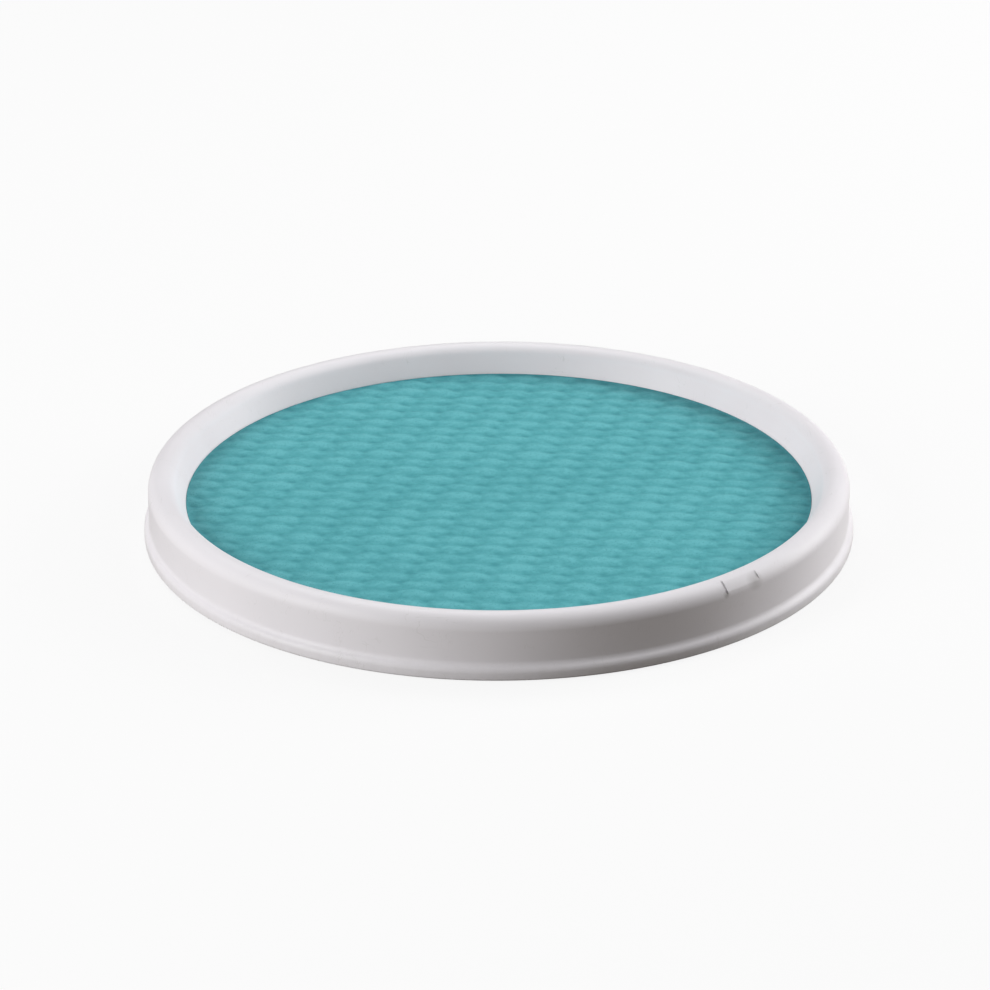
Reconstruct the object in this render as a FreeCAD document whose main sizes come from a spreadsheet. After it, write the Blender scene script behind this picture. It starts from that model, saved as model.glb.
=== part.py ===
import FreeCAD
import Part
import Sketcher
import math
import os

# A round wet palette: a basin on rubber feet, a ring that pushes down over its wall, and a sponge.
# The frame has its origin on the table under the centre, Z up, and the lift flat towards -Y and +X.

doc = FreeCAD.newDocument("wet_palette")

# Driving sizes, in millimetres unless the name says count or angle
SIZES = {
    # rim ring, from the outside in
    "hem_diameter": 200.0,      # widest diameter, at the flared hem
    "hem_reach": 1.45,          # how far the hem stands out from the skirt
    "hem_height": 2.0,          # upright edge of the hem
    "hem_flare": 3.1,           # height of the curve from the hem up to the skirt
    "hem_round": 0.6,           # rounding of the hem's lower edge
    "hem_gap": 0.5,             # the hem's underside above the table
    "rim_wall": 1.6,            # wall of the moulding
    "channel_width": 5.0,       # hollow under the crest
    "inner_slope_angle": 27.0,  # inner side of the crest, measured from upright
    "slope_run": 2.7,           # how far that side runs in to the mouth
    "curb_wall": 1.15,          # wall of the curb round the mouth
    "curb_reach": 3.2,          # upright face of the curb
    "gusset_count": 24,
    "gusset_thickness": 1.2,
    "gusset_gap": 0.3,          # between the gussets and the basin wall
    "lift_flat_angle": -52.7,   # where the lift flat starts, round from +X
    "lift_flat_sweep_angle": 7.0,
    "lift_flat_depth": 0.25,
    "lift_nick_sweep_angle": 0.45,  # narrow nick where the flat starts
    "lift_nick_depth": 0.55,
    # water basin, from the table up
    "under_floor": 1.7,         # room between the feet and the floor
    "basin_floor": 1.8,
    "basin_wall": 1.8,
    "basin_fillet": 2.0,        # inside corner between floor and wall
    "basin_gap": 0.3,           # between the basin wall and the ring round it
    "curb_gap": 2.0,            # water way between the floor and the curb
    "hub_diameter": 30.0,       # inner ring of the stiffening under the floor
    "floor_rib_depth": 1.2,
    "floor_rib_thickness": 1.5,
    # seal
    "seal_height": 1.5,
    "seal_gap": 0.1,            # slack on each side of the seal
    # sponge
    "sponge_thickness": 5.2,    # its top lies level with the mouth
    "sponge_gap": 0.2,          # slack between the sponge and the curb
    "sponge_edge": 0.8,         # rounding of the upper edge
    "row_pitch": 6.0,           # between the embossed rows
    "row_groove_width": 1.8,
    "row_groove_depth": 0.5,
    # feet
    "foot_count": 6,
    "foot_inset": 17.25,        # from the basin wall in to a foot's centre
    "foot_diameter": 12.0,
    "foot_pad": 1.5,
    "foot_round": 0.5,
    "collar_wall": 1.5,         # how far a collar stands out round its foot
    "stem_diameter": 5.0,
    "stem_gap": 0.1,            # slack round a stem and above it
}

sheet = doc.addObject("Spreadsheet::Sheet", "Sizes")
for row, (alias, number) in enumerate(SIZES.items(), start=1):
    sheet.set(f"A{row}", str(number))
    sheet.setAlias(f"A{row}", alias)
doc.recompute()

# Radii worked out from the sizes, as expressions
HEM_R = "Sizes.hem_diameter / 2"
SKIRT_R = f"({HEM_R} - Sizes.hem_reach)"
CREST_RADIUS = "(Sizes.channel_width / 2 + Sizes.rim_wall)"
CREST_R = f"({SKIRT_R} - {CREST_RADIUS})"
SLOPE_R = f"({CREST_R} - {CREST_RADIUS} * cos(Sizes.inner_slope_angle))"
MOUTH_R = f"({SLOPE_R} - Sizes.slope_run)"
CURB_R = f"({MOUTH_R} + Sizes.curb_wall)"
CHANNEL_IN_R = f"({CREST_R} - Sizes.channel_width / 2)"
CHANNEL_OUT_R = f"({SKIRT_R} - Sizes.rim_wall)"
BASIN_IN_R = f"({CHANNEL_IN_R} + Sizes.basin_gap)"
BASIN_OUT_R = f"({BASIN_IN_R} + Sizes.basin_wall)"
GUSSET_R = f"({BASIN_OUT_R} + Sizes.gusset_gap)"
SPONGE_R = f"({MOUTH_R} - Sizes.sponge_gap)"
FOOT_CIRCLE_R = f"({BASIN_IN_R} - Sizes.foot_inset)"
COLLAR_R = "(Sizes.foot_diameter / 2 + Sizes.collar_wall)"
STEM_R = "Sizes.stem_diameter / 2"
HUB_R = "Sizes.hub_diameter / 2"

# Heights, from the table up
FLOOR_LOW = "(Sizes.foot_pad + Sizes.under_floor)"
FLOOR_TOP = f"({FLOOR_LOW} + Sizes.basin_floor)"
RIB_LOW = f"({FLOOR_LOW} - Sizes.floor_rib_depth)"
CURB_LOW = f"({FLOOR_TOP} + Sizes.curb_gap)"
MOUTH_Z = f"({CURB_LOW} + Sizes.curb_reach)"
SLOPE_Z = f"({MOUTH_Z} + Sizes.slope_run / tan(Sizes.inner_slope_angle))"
CREST_Z = f"({SLOPE_Z} - {CREST_RADIUS} * sin(Sizes.inner_slope_angle))"
CREST_TOP = f"({CREST_Z} + {CREST_RADIUS})"
ROOF_Z = f"({CREST_Z} + Sizes.rim_wall)"
WALL_TOP = f"({ROOF_Z} - Sizes.seal_height)"
HEM_TOP = "(Sizes.hem_gap + Sizes.hem_height)"
SKIRT_LOW = f"({HEM_TOP} + Sizes.hem_flare)"
SPONGE_TOP = f"({FLOOR_TOP} + Sizes.sponge_thickness)"
STEM_TOP = f"({FLOOR_LOW} - Sizes.stem_gap)"


# Helpers
def new_body(label):
    body = doc.addObject("PartDesign::Body", label)
    body.Label = label
    return body


def origin_feature(body, role):
    return next(item for item in body.Origin.OriginFeatures if item.Role == role)


def new_sketch(body, label, plane, turn=None, rise=None):
    """A sketch on one of the body's own planes, turned about the upright or raised along the normal."""
    sketch = body.newObject("Sketcher::SketchObject", label)
    sketch.AttachmentSupport = [(origin_feature(body, plane), "")]
    sketch.MapMode = "FlatFace"
    if turn:
        upright = FreeCAD.Vector(0, 1, 0)
        sketch.AttachmentOffset = FreeCAD.Placement(FreeCAD.Vector(), FreeCAD.Rotation(upright, 1))
        sketch.setExpression("AttachmentOffset.Rotation.Angle", turn)
    if rise:
        sketch.setExpression("AttachmentOffset.Base.z", rise)
    return sketch


def place(sketch, edge, end, across, up):
    """Holds one end of an edge at two expressions."""
    for kind, expression in (("DistanceX", across), ("DistanceY", up)):
        start = sketch.evalExpression(expression)
        index = sketch.addConstraint(Sketcher.Constraint(kind, edge, end, float(start)))
        sketch.setExpression(f"Constraints[{index}]", expression)


def arc_through(first, last, radius, turn):
    """The short arc from first to last: turn is 1 when it bears left and -1 when it bears right."""
    chord = last - first
    middle = (first + last) * 0.5
    height = math.sqrt(max(radius ** 2 - (chord.Length / 2) ** 2, 0.0))
    aside = FreeCAD.Vector(-chord.y, chord.x, 0).normalize() * (height * turn)
    centre = middle + aside
    ends = (first, last) if turn > 0 else (last, first)
    angles = [math.atan2(end.y - centre.y, end.x - centre.x) for end in ends]
    circle = Part.Circle(centre, FreeCAD.Vector(0, 0, 1), radius)
    return Part.ArcOfCircle(circle, angles[0], angles[1])


def draw_outline(sketch, corners):
    """A closed outline: each corner is (across, up), with (radius, turn) where an arc leads on from it."""
    points = []
    for corner in corners:
        across = float(sketch.evalExpression(corner[0]))
        up = float(sketch.evalExpression(corner[1]))
        points.append(FreeCAD.Vector(across, up, 0))
    starts = []
    for number, corner in enumerate(corners):
        first = points[number]
        last = points[(number + 1) % len(points)]
        if len(corner) == 2:
            sketch.addGeometry(Part.LineSegment(first, last), False)
            starts.append(1)
            continue
        radius = float(sketch.evalExpression(corner[2]))
        edge = sketch.addGeometry(arc_through(first, last, radius, corner[3]), False)
        index = sketch.addConstraint(Sketcher.Constraint("Radius", edge, radius))
        sketch.setExpression(f"Constraints[{index}]", corner[2])
        starts.append(1 if corner[3] > 0 else 2)
    for number, corner in enumerate(corners):
        before = number - 1 if number else len(corners) - 1
        joint = Sketcher.Constraint("Coincident", before, 3 - starts[before], number, starts[number])
        sketch.addConstraint(joint)
        place(sketch, number, starts[number], corner[0], corner[1])


def draw_circle(sketch, across, up, radius):
    centre = FreeCAD.Vector(float(sketch.evalExpression(across)), float(sketch.evalExpression(up)), 0)
    size = float(sketch.evalExpression(radius))
    edge = sketch.addGeometry(Part.Circle(centre, FreeCAD.Vector(0, 0, 1), size), False)
    index = sketch.addConstraint(Sketcher.Constraint("Radius", edge, size))
    sketch.setExpression(f"Constraints[{index}]", radius)
    place(sketch, edge, 3, across, up)


def revolve(body, label, corners):
    """A full turn of an outline about the upright axis."""
    sketch = new_sketch(body, f"{label}_outline", "XZ_Plane")
    draw_outline(sketch, corners)
    solid = body.newObject("PartDesign::Revolution", label)
    solid.Profile = sketch
    solid.ReferenceAxis = (sketch, ["V_Axis"])
    solid.Angle = 360.0
    doc.recompute()
    return solid


def pad(body, label, sketch, length, symmetric):
    solid = body.newObject("PartDesign::Pad", label)
    solid.Profile = sketch
    solid.SideType = "Symmetric" if symmetric else "One side"
    solid.setExpression("Length", length)
    doc.recompute()
    return solid


def repeat_round(body, label, feature, count):
    """Copies of a feature all round the upright axis."""
    pattern = body.newObject("PartDesign::PolarPattern", label)
    pattern.Originals = [feature]
    pattern.Axis = (origin_feature(body, "Z_Axis"), [""])
    pattern.Angle = 360.0
    pattern.setExpression("Occurrences", count)
    body.Tip = pattern
    doc.recompute()
    return pattern


# Rim ring: one moulding, hollow underneath
def under_slope(radius):
    """Height of the underside of the inner slope, one wall below its face."""
    face = f"({MOUTH_Z} + ({radius} - {MOUTH_R}) / tan(Sizes.inner_slope_angle))"
    return f"({face} - Sizes.rim_wall / sin(Sizes.inner_slope_angle))"


def cut_shoulder(body, label, start, sweep, depth):
    """Takes a chord off the outer shoulder of the crest over a few degrees."""
    chord = new_sketch(body, f"{label}_outline", "XZ_Plane", turn=start)
    leg = f"(2 * {CREST_RADIUS} - sqrt(2) * ({CREST_RADIUS} - {depth}))"
    draw_outline(chord, [
        (SKIRT_R, f"{CREST_TOP} - {leg}"),
        (SKIRT_R, CREST_TOP),
        (f"{SKIRT_R} - {leg}", CREST_TOP),
    ])
    cut = body.newObject("PartDesign::Groove", label)
    cut.Profile = chord
    cut.ReferenceAxis = (chord, ["V_Axis"])
    cut.setExpression("Angle", sweep)
    doc.recompute()


def make_rim_ring():
    body = new_body("rim_ring")
    flare_radius = "((Sizes.hem_reach ^ 2 + Sizes.hem_flare ^ 2) / (4 * Sizes.hem_reach))"
    slant = f"({CREST_RADIUS} / sqrt(2))"
    revolve(body, "ring_moulding", [
        (HEM_R, "Sizes.hem_gap + Sizes.hem_round"),
        (HEM_R, HEM_TOP, flare_radius, 1),
        (f"({HEM_R} + {SKIRT_R}) / 2", f"{HEM_TOP} + Sizes.hem_flare / 2", flare_radius, -1),
        (SKIRT_R, SKIRT_LOW),
        (SKIRT_R, CREST_Z, CREST_RADIUS, 1),
        (f"{CREST_R} + {slant}", f"{CREST_Z} + {slant}", CREST_RADIUS, 1),
        (CREST_R, CREST_TOP, CREST_RADIUS, 1),
        (SLOPE_R, SLOPE_Z),
        (MOUTH_R, MOUTH_Z),
        (MOUTH_R, CURB_LOW),
        (CURB_R, CURB_LOW),
        (CURB_R, under_slope(CURB_R)),
        (CHANNEL_IN_R, under_slope(CHANNEL_IN_R)),
        (CHANNEL_IN_R, ROOF_Z),
        (CHANNEL_OUT_R, ROOF_Z),
        (CHANNEL_OUT_R, SKIRT_LOW),
        (f"{HEM_R} - Sizes.rim_wall", HEM_TOP),
        (f"{HEM_R} - Sizes.rim_wall", "Sizes.hem_gap"),
        (f"{HEM_R} - Sizes.hem_round", "Sizes.hem_gap", "Sizes.hem_round", 1),
    ])
    gusset = new_sketch(body, "gusset_outline", "XZ_Plane")
    inside_skirt = f"{CHANNEL_OUT_R} + Sizes.rim_wall / 4"
    inside_roof = f"{ROOF_Z} + Sizes.rim_wall / 5"
    draw_outline(gusset, [
        (GUSSET_R, SKIRT_LOW),
        (inside_skirt, SKIRT_LOW),
        (inside_skirt, inside_roof),
        (GUSSET_R, inside_roof),
    ])
    rib = pad(body, "gusset", gusset, "Sizes.gusset_thickness", True)
    repeat_round(body, "gussets", rib, "Sizes.gusset_count")
    # Lift flat: a chord off the outer shoulder of the crest, with a deeper nick where it starts
    flat_start, flat_sweep = "Sizes.lift_flat_angle", "Sizes.lift_flat_sweep_angle"
    cut_shoulder(body, "lift_flat", flat_start, flat_sweep, "Sizes.lift_flat_depth")
    nick_sweep = "Sizes.lift_nick_sweep_angle"
    nick_start = f"{flat_start} - {nick_sweep} / 2"
    cut_shoulder(body, "lift_nick", nick_start, nick_sweep, "Sizes.lift_nick_depth")
    return body


# Water basin: dish, collars for the feet and stiffening ribs under the floor
def make_water_basin():
    body = new_body("water_basin")
    rim_rib_r = f"({BASIN_IN_R} - Sizes.floor_rib_thickness)"
    corner = "(Sizes.basin_wall / 2)"
    revolve(body, "dish", [
        ("0", FLOOR_LOW),
        (HUB_R, FLOOR_LOW),
        (HUB_R, RIB_LOW),
        (f"{HUB_R} + Sizes.floor_rib_thickness", RIB_LOW),
        (f"{HUB_R} + Sizes.floor_rib_thickness", FLOOR_LOW),
        (rim_rib_r, FLOOR_LOW),
        (rim_rib_r, RIB_LOW),
        (BASIN_IN_R, RIB_LOW),
        (BASIN_IN_R, FLOOR_LOW),
        (f"{BASIN_OUT_R} - {corner}", FLOOR_LOW, corner, 1),
        (BASIN_OUT_R, f"{FLOOR_LOW} + {corner}"),
        (BASIN_OUT_R, WALL_TOP),
        (BASIN_IN_R, WALL_TOP),
        (BASIN_IN_R, f"{FLOOR_TOP} + Sizes.basin_fillet", "Sizes.basin_fillet", -1),
        (f"{BASIN_IN_R} - Sizes.basin_fillet", FLOOR_TOP),
        ("0", FLOOR_TOP),
    ])
    collar = new_sketch(body, "collar_outline", "XY_Plane", rise="Sizes.foot_pad")
    draw_circle(collar, FOOT_CIRCLE_R, "0", COLLAR_R)
    draw_circle(collar, FOOT_CIRCLE_R, "0", f"{STEM_R} + Sizes.stem_gap")
    post = pad(body, "collar", collar, "Sizes.under_floor + Sizes.basin_floor / 2", False)
    repeat_round(body, "collars", post, "Sizes.foot_count")
    rib = new_sketch(body, "floor_rib_outline", "XZ_Plane", turn="180 / Sizes.foot_count")
    draw_outline(rib, [
        (f"{HUB_R} + Sizes.floor_rib_thickness / 2", RIB_LOW),
        (f"{rim_rib_r} + Sizes.floor_rib_thickness / 2", RIB_LOW),
        (f"{rim_rib_r} + Sizes.floor_rib_thickness / 2", f"{FLOOR_LOW} + Sizes.basin_floor / 2"),
        (f"{HUB_R} + Sizes.floor_rib_thickness / 2", f"{FLOOR_LOW} + Sizes.basin_floor / 2"),
    ])
    spoke = pad(body, "floor_rib", rib, "Sizes.floor_rib_thickness", True)
    repeat_round(body, "floor_ribs", spoke, "Sizes.foot_count")
    return body


# Seal: a flat ring between the basin wall and the roof of the crest
def make_seal_ring():
    body = new_body("seal_ring")
    inside = f"{CHANNEL_IN_R} + Sizes.seal_gap"
    outside = f"{GUSSET_R} - Sizes.seal_gap"
    revolve(body, "gasket", [
        (inside, WALL_TOP),
        (outside, WALL_TOP),
        (outside, ROOF_Z),
        (inside, ROOF_Z),
    ])
    return body


# Sponge: a disc with a rounded upper edge and rows of embossed grooves
def make_sponge():
    body = new_body("sponge")
    revolve(body, "sponge_disc", [
        ("0", FLOOR_TOP),
        (SPONGE_R, FLOOR_TOP),
        (SPONGE_R, f"{SPONGE_TOP} - Sizes.sponge_edge", "Sizes.sponge_edge", 1),
        (f"{SPONGE_R} - Sizes.sponge_edge", SPONGE_TOP),
        ("0", SPONGE_TOP),
    ])
    rows = f"floor(2 * {SPONGE_R} / Sizes.row_pitch)"
    furthest = f"(({rows} - 1) / 2 * Sizes.row_pitch)"
    groove = new_sketch(body, "row_groove_outline", "YZ_Plane")
    draw_outline(groove, [
        (f"{furthest} - Sizes.row_groove_width / 2", SPONGE_TOP),
        (furthest, f"{SPONGE_TOP} - Sizes.row_groove_depth"),
        (f"{furthest} + Sizes.row_groove_width / 2", SPONGE_TOP),
    ])
    cut = body.newObject("PartDesign::Pocket", "row_groove")
    cut.Profile = groove
    cut.SideType = "Symmetric"
    cut.setExpression("Length", f"3 * {SPONGE_R}")
    doc.recompute()
    pattern = body.newObject("PartDesign::LinearPattern", "row_grooves")
    pattern.Originals = [cut]
    pattern.Direction = (origin_feature(body, "Y_Axis"), [""])
    pattern.Reversed = True
    pattern.Mode = "Extent"
    pattern.setExpression("Length", f"2 * {furthest}")
    pattern.setExpression("Occurrences", rows)
    body.Tip = pattern
    doc.recompute()
    return body


# Feet: a rubber pad with a stem that stands in its collar
def make_foot(number):
    body = new_body(f"foot_{number}")
    pad_r = "Sizes.foot_diameter / 2"
    revolve(body, f"foot_{number}_plug", [
        ("0", "0"),
        (f"{pad_r} - Sizes.foot_round", "0", "Sizes.foot_round", 1),
        (pad_r, "Sizes.foot_round"),
        (pad_r, "Sizes.foot_pad"),
        (STEM_R, "Sizes.foot_pad"),
        (STEM_R, STEM_TOP),
        ("0", STEM_TOP),
    ])
    turn = f"({number - 1} * 360 / Sizes.foot_count)"
    body.setExpression("Placement.Base.x", f"{FOOT_CIRCLE_R} * cos({turn})")
    body.setExpression("Placement.Base.y", f"{FOOT_CIRCLE_R} * sin({turn})")
    return body


parts = [make_rim_ring(), make_water_basin(), make_seal_ring(), make_sponge()]
parts += [make_foot(number) for number in range(1, int(sheet.foot_count) + 1)]
doc.recompute()

# Every object must be sound before anything is written
for item in doc.Objects:
    if "Invalid" in item.State or "Error" in item.State:
        raise RuntimeError(f"{item.Label} did not build: {item.State}")
for body in parts:
    if body.Shape.isNull() or not body.Shape.isValid() or len(body.Shape.Solids) != 1:
        raise RuntimeError(f"{body.Label} is not one sound solid")

os.makedirs("parts", exist_ok=True)
for body in parts:
    body.Shape.exportStep(f"parts/{body.Label}.step")
    box = body.Shape.optimalBoundingBox()
    extent = f"{box.XLength:.2f} x {box.YLength:.2f} x {box.ZLength:.2f}"
    print(f"{body.Label}: {body.Shape.Volume:.1f} mm3, {extent} mm, z {box.ZMin:.2f} to {box.ZMax:.2f}")
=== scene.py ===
# %% [markdown]
# # A round wet palette
# A wet palette keeps paint damp: a sponge lies in a shallow basin of water, inside a white moulded rim.
# The solids come in first as a fixed frame. Everything modelled below takes its place and size from it,
# and each piece rides on the body that carries it, so that the rim and the sponge can be lifted.

# %% Load the frame
import math

import bpy
import numpy as np
from mathutils import Matrix, Vector


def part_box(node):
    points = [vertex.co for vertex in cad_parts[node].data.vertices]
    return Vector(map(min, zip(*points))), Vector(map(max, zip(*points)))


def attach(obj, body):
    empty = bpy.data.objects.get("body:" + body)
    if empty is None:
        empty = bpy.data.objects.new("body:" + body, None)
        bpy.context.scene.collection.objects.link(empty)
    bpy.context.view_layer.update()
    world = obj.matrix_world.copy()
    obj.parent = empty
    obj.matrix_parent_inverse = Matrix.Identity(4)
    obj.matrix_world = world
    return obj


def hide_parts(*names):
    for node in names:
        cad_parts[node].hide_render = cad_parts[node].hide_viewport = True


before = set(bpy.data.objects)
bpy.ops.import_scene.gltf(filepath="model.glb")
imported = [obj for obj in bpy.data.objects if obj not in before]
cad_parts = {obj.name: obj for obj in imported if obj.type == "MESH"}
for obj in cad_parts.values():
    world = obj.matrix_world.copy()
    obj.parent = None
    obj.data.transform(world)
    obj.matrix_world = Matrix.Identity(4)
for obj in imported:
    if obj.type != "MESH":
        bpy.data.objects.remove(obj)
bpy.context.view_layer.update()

MM = 0.001

# %% [markdown]
# ## Drawing a section
# Nearly every piece of this palette is round, so each starts as its section. A plane is merged to a
# single point, and the point is extruded from corner to corner, with round stretches as arcs. Spinning
# that outline about an upright axis makes the whole ring at once, with clean rows of faces all the way
# round. A lathe or a mould maker would work from the same drawing, and a screw modifier would do as well,
# but the spin leaves nothing live on the piece.

# %% Section helpers
SAME_PLACE = 1e-6


def deselect_all():
    if bpy.context.object and bpy.context.object.mode != "OBJECT":
        bpy.ops.object.mode_set(mode="OBJECT")
    bpy.ops.object.select_all(action="DESELECT")


def arc(centre_r, centre_z, radius, first, last, steps):
    """Points of an arc in the section, with angles in degrees from the outward direction."""
    angles = [math.radians(first + (last - first) * step / steps) for step in range(steps + 1)]
    return [(centre_r + radius * math.cos(angle), centre_z + radius * math.sin(angle)) for angle in angles]


def draw_section(name, points, closed=True):
    """One edge loop in the plane y = 0, extruded corner by corner, left in edit mode."""
    deselect_all()
    here = Vector((points[0][0], 0, points[0][1]))
    bpy.ops.mesh.primitive_plane_add(size=MM, location=here)
    piece = bpy.context.object
    piece.name = name
    bpy.ops.object.transform_apply(location=True, rotation=True, scale=True)
    bpy.ops.object.mode_set(mode="EDIT")
    bpy.ops.mesh.select_all(action="SELECT")
    bpy.ops.mesh.merge(type="CENTER")
    for across, up in points[1:] + (points[:1] if closed else []):
        step = Vector((across, 0, up)) - here
        if step.length > SAME_PLACE:
            bpy.ops.mesh.extrude_region_move(TRANSFORM_OT_translate={"value": step})
            here += step
    merge_doubles()
    return piece


def merge_doubles():
    bpy.ops.mesh.select_all(action="SELECT")
    bpy.ops.mesh.remove_doubles(threshold=SAME_PLACE)
    bpy.ops.mesh.select_all(action="SELECT")


def spin_round(steps, axis_x=0.0):
    """A full turn of what is selected about an upright axis, with its seam closed."""
    bpy.ops.mesh.spin(steps=steps, angle=math.tau, center=(axis_x, 0, 0), axis=(0, 0, 1))
    merge_doubles()
    bpy.ops.mesh.normals_make_consistent(inside=False)


def copy_round(count):
    """Copies of what is selected, evenly spaced about the middle of the palette."""
    bpy.ops.mesh.spin(steps=count, dupli=True, angle=math.tau, center=(0, 0, 0), axis=(0, 0, 1))
    merge_doubles()


def finish_piece(piece, smooth_angle=35):
    """Leaves edit mode, shades the piece and reports it."""
    if piece.mode != "OBJECT":
        bpy.ops.object.mode_set(mode="OBJECT")
    deselect_all()
    bpy.context.view_layer.objects.active = piece
    piece.select_set(True)
    bpy.ops.object.shade_smooth_by_angle(angle=math.radians(smooth_angle))
    piece.data.calc_loop_triangles()
    print(f"{piece.name}: {len(piece.data.vertices)} points, {len(piece.data.loop_triangles)} triangles")
    return piece


def combine(piece, tool, operation):
    """Joins a tool to a piece or cuts it away, and removes the tool."""
    deselect_all()
    bpy.context.view_layer.objects.active = piece
    piece.select_set(True)
    step = piece.modifiers.new(operation.lower(), "BOOLEAN")
    step.operation = operation
    step.solver = "EXACT"
    step.object = tool
    bpy.ops.object.modifier_apply(modifier=step.name)
    bpy.data.objects.remove(tool)


def settle(piece, nodes, body):
    """The piece stands for these solids, which are hidden, and rides on a body."""
    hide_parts(*nodes)
    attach(piece, body)


# %% [markdown]
# ## Sizes of the rim
# The rim is one moulding. Its outer reach, its height and the place of its seal come from the frame. The
# few sizes of its section are real ones: a hem that flares out, an upright skirt, a rolled crest, and an
# inner side that slopes down to a curb round the sponge.

# %% Rim sizes
rim_low, rim_high = (Vector(corner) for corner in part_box("rim_ring"))
seal_low, seal_high = (Vector(corner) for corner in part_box("seal_ring"))
dish_low, dish_high = (Vector(corner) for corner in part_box("water_basin"))
sponge_low, sponge_high = (Vector(corner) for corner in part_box("sponge"))

HEM_R = rim_high.x
HEM_LOW = rim_low.z
CREST_TOP = rim_high.z
ROOF_Z = seal_high.z
HEM_REACH = 1.45 * MM
HEM_HEIGHT = 2.0 * MM
HEM_FLARE = 3.1 * MM
RIM_WALL = 1.6 * MM
CREST_RADIUS = 4.1 * MM
CHANNEL_WIDTH = 5.0 * MM
SLOPE_ANGLE = 27
SLOPE_RUN = 2.7 * MM
CURB_WALL = 1.15 * MM
CURB_REACH = 3.2 * MM

SLOPE_SIN, SLOPE_COS = math.sin(math.radians(SLOPE_ANGLE)), math.cos(math.radians(SLOPE_ANGLE))
SLOPE_TAN = SLOPE_SIN / SLOPE_COS
SKIRT_R = HEM_R - HEM_REACH
CREST_R = SKIRT_R - CREST_RADIUS
MOUTH_R = CREST_R - CREST_RADIUS * SLOPE_COS - SLOPE_RUN
CURB_R = MOUTH_R + CURB_WALL
CHANNEL_IN_R = CREST_R - CHANNEL_WIDTH / 2
CHANNEL_OUT_R = SKIRT_R - RIM_WALL
HEM_TOP = HEM_LOW + HEM_HEIGHT
SKIRT_LOW = HEM_TOP + HEM_FLARE
CREST_Z = CREST_TOP - CREST_RADIUS
MOUTH_Z = CREST_Z + CREST_RADIUS * SLOPE_SIN - SLOPE_RUN / SLOPE_TAN
CURB_LOW = MOUTH_Z - CURB_REACH
print(
    f"rim: hem radius {HEM_R / MM:.1f} mm, crest {CREST_TOP / MM:.1f} mm up,"
    f" mouth radius {MOUTH_R / MM:.2f} mm"
)

# %% [markdown]
# ## The rim moulding
# The real rim comes out of one mould: outside it flares to a hem, rises as an upright skirt and rolls
# over a crest; inside it slopes down to the curb. Underneath it is hollow, and the basin wall stands in
# the hollow. Every corner of the section carries a small round, because a moulded edge is never quite
# sharp and the round is what catches the light.

# %% Spin the rim
RIM_STEPS = 288
HEM_ROUND = 0.6 * MM
EDGE_ROUND = 0.3 * MM
MOUTH_ROUND = 0.8 * MM
FLARE_RADIUS = (HEM_REACH ** 2 + HEM_FLARE ** 2) / (4 * HEM_REACH)
FLARE_TURN = math.degrees(2 * math.atan2(HEM_REACH, HEM_FLARE))
HEM_IN_R = HEM_R - RIM_WALL
mouth_drop = MOUTH_ROUND * math.tan(math.radians(SLOPE_ANGLE / 2))


def under_slope(radius):
    """Height of the underside of the inner slope, one wall below its face."""
    return MOUTH_Z + (radius - MOUTH_R) / SLOPE_TAN - RIM_WALL / SLOPE_SIN


rim_section = (
    arc(HEM_IN_R + EDGE_ROUND, HEM_LOW + EDGE_ROUND, EDGE_ROUND, 180, 270, 4)
    + arc(HEM_R - HEM_ROUND, HEM_LOW + HEM_ROUND, HEM_ROUND, 270, 360, 6)
    + arc(HEM_R - FLARE_RADIUS, HEM_TOP, FLARE_RADIUS, 0, FLARE_TURN, 8)
    + arc(SKIRT_R + FLARE_RADIUS, SKIRT_LOW, FLARE_RADIUS, 180 + FLARE_TURN, 180, 8)
    + arc(CREST_R, CREST_Z, CREST_RADIUS, 0, 180 - SLOPE_ANGLE, 32)
    + arc(MOUTH_R + MOUTH_ROUND, MOUTH_Z - mouth_drop, MOUTH_ROUND, 180 - SLOPE_ANGLE, 180, 5)
    + arc(MOUTH_R + EDGE_ROUND, CURB_LOW + EDGE_ROUND, EDGE_ROUND, 180, 270, 4)
    + arc(CURB_R - EDGE_ROUND, CURB_LOW + EDGE_ROUND, EDGE_ROUND, 270, 360, 4)
    + [(CURB_R, under_slope(CURB_R)), (CHANNEL_IN_R, under_slope(CHANNEL_IN_R))]
    + arc(CHANNEL_IN_R + EDGE_ROUND, ROOF_Z - EDGE_ROUND, EDGE_ROUND, 180, 90, 4)
    + arc(CHANNEL_OUT_R - EDGE_ROUND, ROOF_Z - EDGE_ROUND, EDGE_ROUND, 90, 0, 4)
    + [(CHANNEL_OUT_R, SKIRT_LOW), (HEM_IN_R, HEM_TOP)]
)
rim = draw_section("rim_moulding", rim_section)
spin_round(RIM_STEPS)
finish_piece(rim)

# %% [markdown]
# ## Gussets and the lift flat
# Thin upright gussets inside the hollow stiffen the skirt and guide the rim down round the basin wall.
# One is made from a cube, bevelled and copied round by a spin, and all of them are joined to the
# moulding. On the outer shoulder of the crest a shallow flat, a few degrees wide, gives a fingertip a
# hold to lift the rim, and a narrow nick marks where it starts.

# %% Gussets
GUSSET_COUNT = 24
GUSSET_THICKNESS = 1.2 * MM
GUSSET_GAP = 0.3 * MM
GUSSET_SINK = 0.4 * MM
GUSSET_ROUND = 0.15 * MM


def bevelled_block(name, low, high, edge):
    """A cube drawn out between two corners, with every edge rounded, left selected in edit mode."""
    deselect_all()
    bpy.ops.mesh.primitive_cube_add(size=1, location=(low + high) / 2, scale=high - low)
    block = bpy.context.object
    block.name = name
    bpy.ops.object.transform_apply(location=True, rotation=True, scale=True)
    bpy.ops.object.mode_set(mode="EDIT")
    bpy.ops.mesh.select_all(action="SELECT")
    bpy.ops.mesh.bevel(offset=edge, segments=2, affect="EDGES")
    bpy.ops.mesh.select_all(action="SELECT")
    return block


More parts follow.
